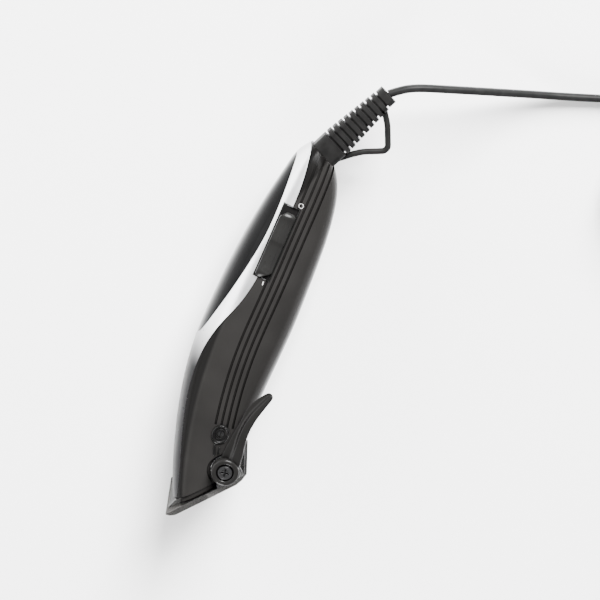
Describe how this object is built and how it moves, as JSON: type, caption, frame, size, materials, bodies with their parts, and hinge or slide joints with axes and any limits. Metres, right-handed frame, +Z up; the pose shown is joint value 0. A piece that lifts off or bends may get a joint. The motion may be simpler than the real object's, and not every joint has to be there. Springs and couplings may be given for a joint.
{
  "type": "hair clipper",
  "caption": "Corded hair clipper with a taper lever, slide switch, ribbed cord guard with hanging loop, vibrating motor and coiled lead with plug.",
  "frame": {"origin": "bottom centre of the box around the clipper without its free lead, lying on its right flank", "axes": "+X along the body towards the blades, -Y the front of the casing with the dark inlay, +Z up out of the left flank with the lever and the switch"},
  "size_m": [0.2466, 0.2527, 0.051],
  "materials": {
    "housing_plastic": "satin black moulding",
    "silver_plastic": "satin silver lacquer on a moulding",
    "inlay_plastic": "high gloss black",
    "screw_steel": "zinc plated",
    "switch_plastic": "polished black",
    "switch_case": "moulded",
    "adjuster_plastic": "moulded",
    "spring_steel": "spring wire",
    "lever_plastic": "satin to gloss black",
    "black_screw": "black oxide",
    "carrier_steel": "stamped steel",
    "blade_steel": "ground steel",
    "cutter_steel": "ground steel",
    "follower_plastic": "natural nylon",
    "arm_aluminium": "stamped strip",
    "core_steel": "laminated core steel",
    "bobbin_plastic": "natural nylon",
    "winding_copper": "enamelled copper wire",
    "guard_rubber": "soft black moulding",
    "wire_plastic": "insulated wire",
    "cord_plastic": "black sheath",
    "tie_plastic": "soft strap",
    "plug_plastic": "moulded",
    "pin_metal": "nickel plated brass"
  },
  "bodies": {
    "casing": {"rear_housing": "housing_plastic", "front_frame": "silver_plastic", "front_cover": "inlay_plastic", "housing_screws": "screw_steel", "switch_body": "switch_case", "power_spring": "spring_steel", "lever_screw": "black_screw", "lever_washer": "black_screw", "pivot_bracket": "arm_aluminium", "bracket_screws": "screw_steel", "stator_core": "core_steel", "motor_screws": "screw_steel", "coil_bobbin": "bobbin_plastic", "coil_winding": "winding_copper", "cord_guard": "guard_rubber", "cord_clamp": "switch_case", "clamp_screws": "screw_steel", "lead_wires": "wire_plastic", "cord_tube": "cord_plastic", "cord_coil": "cord_plastic", "cord_tail": "cord_plastic", "cord_tie": "tie_plastic", "plug_relief": "plug_plastic", "plug_body": "plug_plastic", "plug_pins": "pin_metal"},
    "lever": {"taper_lever": "lever_plastic"},
    "blade_stage": {"fixed_blade": "blade_steel", "blade_carrier": "carrier_steel", "blade_screws": "screw_steel", "tension_spring": "spring_steel"},
    "cutter": {"moving_blade": "cutter_steel", "cutter_follower": "follower_plastic"},
    "armature": {"armature_arm": "arm_aluminium", "armature_core": "core_steel", "armature_rivets": "screw_steel", "leaf_spring": "spring_steel", "drive_finger": "follower_plastic"},
    "switch": {"switch_button": "switch_plastic"},
    "adjuster": {"power_screw": "adjuster_plastic"}
  },
  "joints": [
    {"name": "taper_lever_turn", "type": "hinge", "parent": "casing", "child": "lever", "pos_m": [0.07466, 0.00414, 0.04751], "axis": [0, 0, 1], "range_deg": [-45, 0]},
    {"name": "blade_taper_slide", "type": "slide", "parent": "casing", "child": "blade_stage", "axis": [0.7266, -0.6871, 0], "range_m": [0, 0.00142]},
    {"name": "armature_swing", "type": "hinge", "parent": "casing", "child": "armature", "pos_m": [-0.03426, -0.00724, 0.02551], "axis": [0, -1, 0], "range_deg": [-0.6, 0.6], "stiffness_Nm_per_rad": 20},
    {"name": "cutter_slide", "type": "slide", "parent": "casing", "child": "cutter", "axis": [0, 0, 1], "range_m": [-0.00132, 0.00132]},
    {"name": "switch_slide", "type": "slide", "parent": "casing", "child": "switch", "axis": [-0.9864, 0.0811, -0.1426], "range_m": [0, 0.0026]},
    {"name": "power_adjuster_turn", "type": "hinge", "parent": "casing", "child": "adjuster", "pos_m": [0.05984, -0.00294, 0.04551], "axis": [0, 0, 1], "range_deg": [-180, 180]}
  ],
  "couplings": [
    {"joint": "blade_taper_slide", "follows": "taper_lever_turn", "m_per_rad": -0.0017825},
    {"joint": "cutter_slide", "follows": "armature_swing", "m_per_rad": 0.12454}
  ]
}
